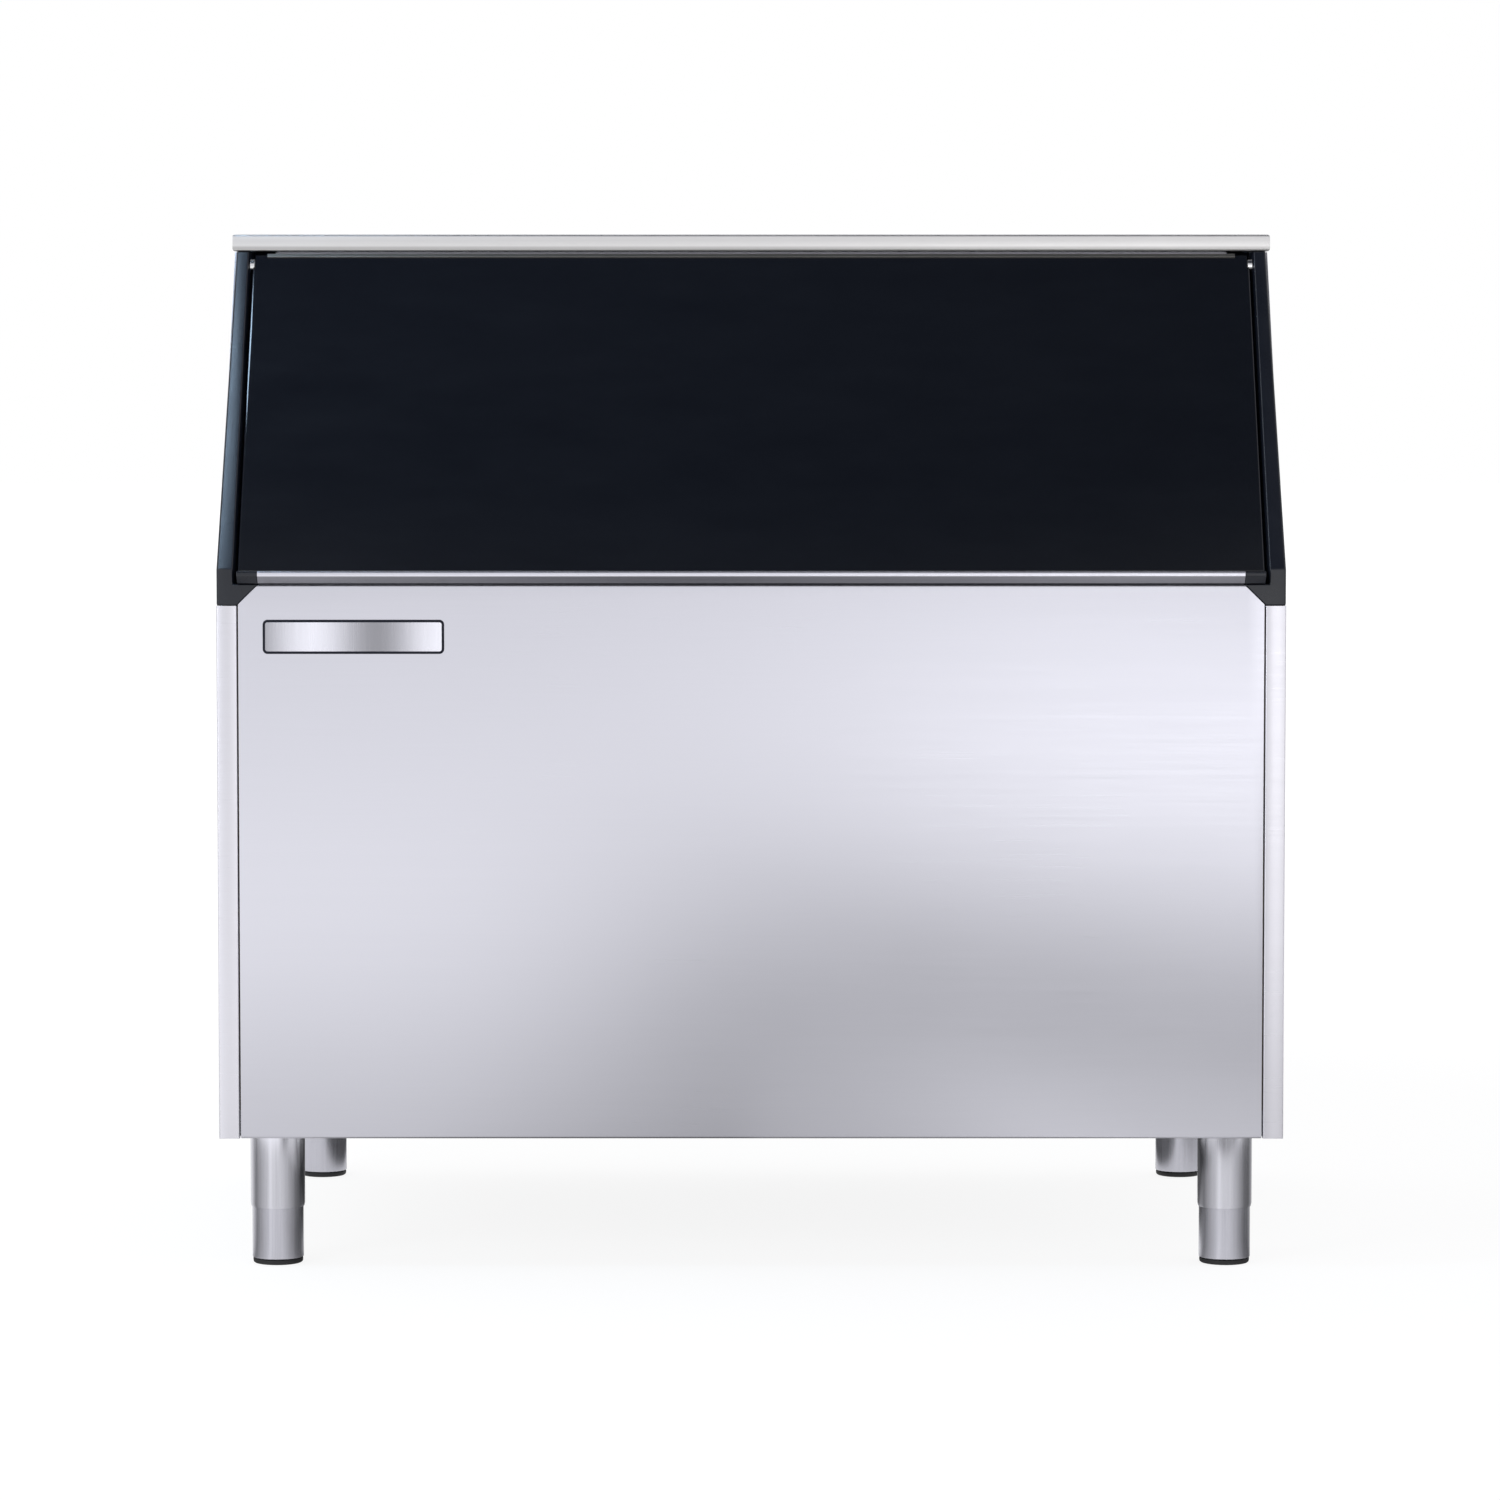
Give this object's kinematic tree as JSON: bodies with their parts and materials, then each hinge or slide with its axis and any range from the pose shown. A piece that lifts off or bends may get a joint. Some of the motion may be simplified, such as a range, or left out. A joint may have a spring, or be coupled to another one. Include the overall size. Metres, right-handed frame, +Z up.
{
  "type": "ice storage bin",
  "caption": "Insulated stainless ice storage bin with a sloped black lift-up door, an open rim for a modular ice machine on top, and adjustable legs.",
  "frame": {"origin": "on the floor, under the middle of the whole bin", "axes": "+X across to the viewer's right, +Y to the back, +Z up; the door faces -Y"},
  "size_m": [1.22, 0.86, 1.19],
  "materials": {
    "brushed_stainless": "brushed",
    "galvanised_sheet": "galvanised",
    "liner_plastic": "satin",
    "insulation_foam": "foam",
    "black_satin_plastic": "satin",
    "black_gloss_plastic": "gloss",
    "polished_steel": "polished",
    "nylon": "matte",
    "black_rubber": "matte"
  },
  "bodies": {
    "cabinet": {"front_panel": "brushed_stainless", "top_rim": "brushed_stainless", "header_channel": "brushed_stainless", "side_panel_left": "brushed_stainless", "side_panel_right": "brushed_stainless", "leg_sleeve_front_left": "brushed_stainless", "leg_sleeve_front_right": "brushed_stainless", "leg_sleeve_rear_left": "brushed_stainless", "leg_sleeve_rear_right": "brushed_stainless", "sill_stiffener": "galvanised_sheet", "back_panel": "galvanised_sheet", "base_pan": "galvanised_sheet", "leg_plate_front_left": "galvanised_sheet", "leg_plate_front_right": "galvanised_sheet", "leg_plate_rear_left": "galvanised_sheet", "leg_plate_rear_right": "galvanised_sheet", "liner": "liner_plastic", "ice_deflector": "liner_plastic", "insulation": "insulation_foam", "door_frame_left": "black_satin_plastic", "door_frame_right": "black_satin_plastic", "hinge_pin_left": "polished_steel", "hinge_pin_right": "polished_steel", "drain_strainer": "polished_steel", "back_screw_1": "polished_steel", "back_screw_2": "polished_steel", "back_screw_3": "polished_steel", "back_screw_4": "polished_steel", "frame_screw_1": "polished_steel", "frame_screw_2": "polished_steel", "frame_screw_3": "polished_steel", "frame_screw_4": "polished_steel", "drain_fitting": "nylon", "drain_nut": "nylon", "deflector_screw_1": "nylon", "deflector_screw_2": "nylon", "frame_seal": "black_rubber", "drain_gasket": "black_rubber"},
    "door": {"door_shell": "black_gloss_plastic", "door_inner_skin": "liner_plastic", "door_core": "insulation_foam", "door_top_strip": "brushed_stainless", "handle_rail": "brushed_stainless", "handle_end_left": "black_satin_plastic", "handle_end_right": "black_satin_plastic", "handle_screw_1": "polished_steel", "handle_screw_2": "polished_steel", "handle_screw_3": "polished_steel", "door_bumper_left": "black_rubber", "door_bumper_right": "black_rubber", "hinge_bush_left": "nylon", "hinge_bush_right": "nylon"},
    "foot_front_left": {"leg_foot_front_left": "brushed_stainless", "foot_pad_front_left": "black_rubber"},
    "foot_front_right": {"leg_foot_front_right": "brushed_stainless", "foot_pad_front_right": "black_rubber"},
    "foot_rear_left": {"leg_foot_rear_left": "brushed_stainless", "foot_pad_rear_left": "black_rubber"},
    "foot_rear_right": {"leg_foot_rear_right": "brushed_stainless", "foot_pad_rear_right": "black_rubber"}
  },
  "joints": [
    {"name": "door_hinge", "type": "hinge", "parent": "cabinet", "child": "door", "pos_m": [0, -0.17488, 1.1535], "axis": [-1, 0, 0], "range_deg": [0, 110]},
    {"name": "foot_front_left_height", "type": "slide", "parent": "cabinet", "child": "foot_front_left", "axis": [0, 0, 1], "range_m": [-0.01, 0.015]},
    {"name": "foot_front_right_height", "type": "slide", "parent": "cabinet", "child": "foot_front_right", "axis": [0, 0, 1], "range_m": [-0.01, 0.015]},
    {"name": "foot_rear_left_height", "type": "slide", "parent": "cabinet", "child": "foot_rear_left", "axis": [0, 0, 1], "range_m": [-0.01, 0.015]},
    {"name": "foot_rear_right_height", "type": "slide", "parent": "cabinet", "child": "foot_rear_right", "axis": [0, 0, 1], "range_m": [-0.01, 0.015]}
  ]
}
